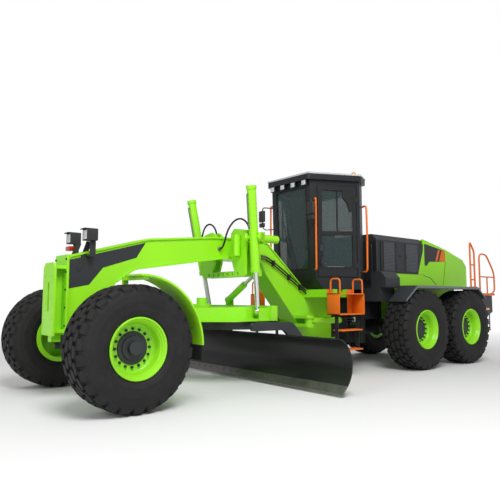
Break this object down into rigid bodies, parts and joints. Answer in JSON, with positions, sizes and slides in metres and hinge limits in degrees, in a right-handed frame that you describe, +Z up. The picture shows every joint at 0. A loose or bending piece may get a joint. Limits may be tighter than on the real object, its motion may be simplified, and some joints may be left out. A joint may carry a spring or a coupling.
{
  "type": "motor grader",
  "caption": "Articulated motor grader with a gooseneck front frame, tapered glass cab, curved blade on a turning circle and tandem rear wheels.",
  "frame": {"origin": "on the ground at the middle of the machine's length and width", "axes": "+X forwards, +Y to the operator's left, +Z up"},
  "size_m": [10.955, 4.88, 4.01],
  "materials": {
    "lime_paint": "gloss",
    "charcoal_paint": "satin",
    "black_paint": "satin",
    "safety_orange": "satin",
    "tyre_rubber": "matte",
    "tinted_glass": "clear",
    "chrome_rod": "polished",
    "worn_steel": "worn",
    "black_plastic": "matte",
    "seat_fabric": "matte"
  },
  "bodies": {
    "front_body": {"front_frame": "lime_paint", "push_plate": "lime_paint", "lift_saddle": "lime_paint", "front_axle": "charcoal_paint", "cab_shell": "charcoal_paint", "cab_roof": "charcoal_paint", "cab_glass": "tinted_glass", "operator_seat": "seat_fabric", "cab_ladders": "safety_orange", "cab_handrails": "safety_orange", "mirrors": "black_plastic", "cab_lamps": "black_plastic", "head_lamps": "black_plastic"},
    "left_door_body": {"left_door": "charcoal_paint", "left_door_glass": "tinted_glass"},
    "right_door_body": {"right_door": "charcoal_paint", "right_door_glass": "tinted_glass"},
    "left_steer": {"left_knuckle": "charcoal_paint", "left_fender": "lime_paint"},
    "right_steer": {"right_knuckle": "charcoal_paint", "right_fender": "lime_paint"},
    "tie_rod_body": {"tie_rod": "worn_steel"},
    "drawbar_body": {"drawbar": "lime_paint"},
    "circle_body": {"turn_circle": "charcoal_paint"},
    "carriage_body": {"blade_carriage": "charcoal_paint"},
    "blade_body": {"moldboard": "black_paint", "cutting_edges": "worn_steel"},
    "shift_barrel_body": {"shift_barrel": "lime_paint"},
    "shift_rod_body": {"shift_rod": "chrome_rod"},
    "rear_body": {"rear_frame": "lime_paint", "tandem_cases": "charcoal_paint", "engine": "charcoal_paint", "front_cowl": "charcoal_paint", "rear_cowl": "lime_paint", "rear_fenders": "charcoal_paint", "rear_rails": "safety_orange", "rear_bumper": "charcoal_paint", "side_boxes": "charcoal_paint"},
    "left_lift_barrel_body": {"left_lift_barrel": "lime_paint"},
    "left_lift_rod_body": {"left_lift_rod": "chrome_rod"},
    "left_artic_barrel_body": {"left_artic_barrel": "lime_paint"},
    "left_artic_rod_body": {"left_artic_rod": "chrome_rod"},
    "right_lift_barrel_body": {"right_lift_barrel": "lime_paint"},
    "right_lift_rod_body": {"right_lift_rod": "chrome_rod"},
    "right_artic_barrel_body": {"right_artic_barrel": "lime_paint"},
    "right_artic_rod_body": {"right_artic_rod": "chrome_rod"},
    "front_left_wheel": {"front_left_tyre": "tyre_rubber", "front_left_rim": "lime_paint"},
    "front_right_wheel": {"front_right_tyre": "tyre_rubber", "front_right_rim": "lime_paint"},
    "middle_left_wheel": {"middle_left_tyre": "tyre_rubber", "middle_left_rim": "lime_paint"},
    "middle_right_wheel": {"middle_right_tyre": "tyre_rubber", "middle_right_rim": "lime_paint"},
    "rear_left_wheel": {"rear_left_tyre": "tyre_rubber", "rear_left_rim": "lime_paint"},
    "rear_right_wheel": {"rear_right_tyre": "tyre_rubber", "rear_right_rim": "lime_paint"}
  },
  "joints": [
    {"name": "steer_left", "type": "hinge", "parent": "front_body", "child": "left_steer", "pos_m": [4.6725, 0.92, 0.805], "axis": [0, 0, 1], "range_deg": [-45, 45]},
    {"name": "steer_right", "type": "hinge", "parent": "front_body", "child": "right_steer", "pos_m": [4.6725, -0.92, 0.805], "axis": [0, 0, 1], "range_deg": [-45, 45]},
    {"name": "tie_rod_shift", "type": "slide", "parent": "front_body", "child": "tie_rod_body", "axis": [0, -1, 0], "range_m": [-0.17, 0.17]},
    {"name": "spin_front_left", "type": "hinge", "parent": "left_steer", "child": "front_left_wheel", "pos_m": [4.6725, 1.34, 0.805], "axis": [0, 1, 0], "continuous": true},
    {"name": "spin_middle_left", "type": "hinge", "parent": "rear_body", "child": "middle_left_wheel", "pos_m": [-1.7675, 1.29, 0.805], "axis": [0, 1, 0], "continuous": true},
    {"name": "spin_rear_left", "type": "hinge", "parent": "rear_body", "child": "rear_left_wheel", "pos_m": [-3.5175, 1.29, 0.805], "axis": [0, 1, 0], "continuous": true},
    {"name": "spin_front_right", "type": "hinge", "parent": "right_steer", "child": "front_right_wheel", "pos_m": [4.6725, -1.34, 0.805], "axis": [0, 1, 0], "continuous": true},
    {"name": "spin_middle_right", "type": "hinge", "parent": "rear_body", "child": "middle_right_wheel", "pos_m": [-1.7675, -1.29, 0.805], "axis": [0, 1, 0], "continuous": true},
    {"name": "spin_rear_right", "type": "hinge", "parent": "rear_body", "child": "rear_right_wheel", "pos_m": [-3.5175, -1.29, 0.805], "axis": [0, 1, 0], "continuous": true},
    {"name": "articulation", "type": "hinge", "parent": "front_body", "child": "rear_body", "pos_m": [-0.6275, 0, 1], "axis": [0, 0, 1], "range_deg": [-20, 20]},
    {"name": "left_artic_swing", "type": "hinge", "parent": "front_body", "child": "left_artic_barrel_body", "pos_m": [0.5525, 0.48, 1], "axis": [0, 0, 1], "range_deg": [-3, 3]},
    {"name": "left_artic_stroke", "type": "slide", "parent": "left_artic_barrel_body", "child": "left_artic_rod_body", "axis": [-1, 0, 0], "range_m": [-0.17, 0.17]},
    {"name": "right_artic_swing", "type": "hinge", "parent": "front_body", "child": "right_artic_barrel_body", "pos_m": [0.5525, -0.48, 1], "axis": [0, 0, 1], "range_deg": [-3, 3]},
    {"name": "right_artic_stroke", "type": "slide", "parent": "right_artic_barrel_body", "child": "right_artic_rod_body", "axis": [-1, 0, 0], "range_m": [-0.17, 0.17]},
    {"name": "drawbar_lift", "type": "hinge", "parent": "front_body", "child": "drawbar_body", "pos_m": [4.2425, 0, 0.965], "axis": [0, 1, 0], "range_deg": [-11.5, 10]},
    {"name": "left_lift_swing", "type": "hinge", "parent": "front_body", "child": "left_lift_barrel_body", "pos_m": [2.18642, 0.81866, 2.45], "axis": [-0.5421, 0.8403, 0], "range_deg": [-2, 2]},
    {"name": "left_lift_stroke", "type": "slide", "parent": "left_lift_barrel_body", "child": "left_lift_rod_body", "axis": [0.1461, 0.0942, 0.9848], "range_m": [-0.46, 0.4]},
    {"name": "right_lift_swing", "type": "hinge", "parent": "front_body", "child": "right_lift_barrel_body", "pos_m": [2.18642, -0.81866, 2.45], "axis": [0.5421, 0.8403, 0], "range_deg": [-2, 2]},
    {"name": "right_lift_stroke", "type": "slide", "parent": "right_lift_barrel_body", "child": "right_lift_rod_body", "axis": [0.1461, -0.0942, 0.9848], "range_m": [-0.46, 0.4]},
    {"name": "shift_swing", "type": "hinge", "parent": "drawbar_body", "child": "shift_barrel_body", "pos_m": [1.8325, -0.35, 1.4], "axis": [0.8624, 0.4972, -0.0951], "range_deg": [-25, 28]},
    {"name": "shift_stroke", "type": "slide", "parent": "shift_barrel_body", "child": "shift_rod_body", "axis": [0.1029, 0.8916, 0.4409], "range_m": [-0.2, 0.23]},
    {"name": "circle_turn", "type": "hinge", "parent": "drawbar_body", "child": "circle_body", "pos_m": [2.0475, 0, 0.98], "axis": [0, 0, 1], "range_deg": [-35, 35]},
    {"name": "blade_tip", "type": "hinge", "parent": "circle_body", "child": "carriage_body", "pos_m": [1.3725, 0, 0.33], "axis": [0, 1, 0], "range_deg": [-5, 40]},
    {"name": "blade_side_shift", "type": "slide", "parent": "carriage_body", "child": "blade_body", "axis": [0, -1, 0], "range_m": [-0.7, 0.7]},
    {"name": "left_door_swing", "type": "hinge", "parent": "front_body", "child": "left_door_body", "pos_m": [-0.32198, 0.98595, 2.6], "axis": [0, 0, 1], "range_deg": [0, 95]},
    {"name": "right_door_swing", "type": "hinge", "parent": "front_body", "child": "right_door_body", "pos_m": [-0.32198, -0.98595, 2.6], "axis": [0, 0, -1], "range_deg": [0, 95]}
  ],
  "couplings": [
    {"joint": "steer_right", "follows": "steer_left", "ratio": 1},
    {"joint": "tie_rod_shift", "follows": "steer_left", "m_per_rad": 0.205},
    {"joint": "left_artic_swing", "follows": "articulation", "ratio": 0.125},
    {"joint": "left_artic_stroke", "follows": "articulation", "m_per_rad": 0.473},
    {"joint": "right_artic_swing", "follows": "articulation", "ratio": 0.125},
    {"joint": "right_artic_stroke", "follows": "articulation", "m_per_rad": -0.473},
    {"joint": "left_lift_swing", "follows": "drawbar_lift", "ratio": 0.15},
    {"joint": "left_lift_stroke", "follows": "drawbar_lift", "m_per_rad": 2.235},
    {"joint": "right_lift_swing", "follows": "drawbar_lift", "ratio": 0.15},
    {"joint": "right_lift_stroke", "follows": "drawbar_lift", "m_per_rad": 2.235},
    {"joint": "shift_swing", "follows": "drawbar_lift", "ratio": -2.2682},
    {"joint": "shift_stroke", "follows": "drawbar_lift", "m_per_rad": -1.0457}
  ]
}
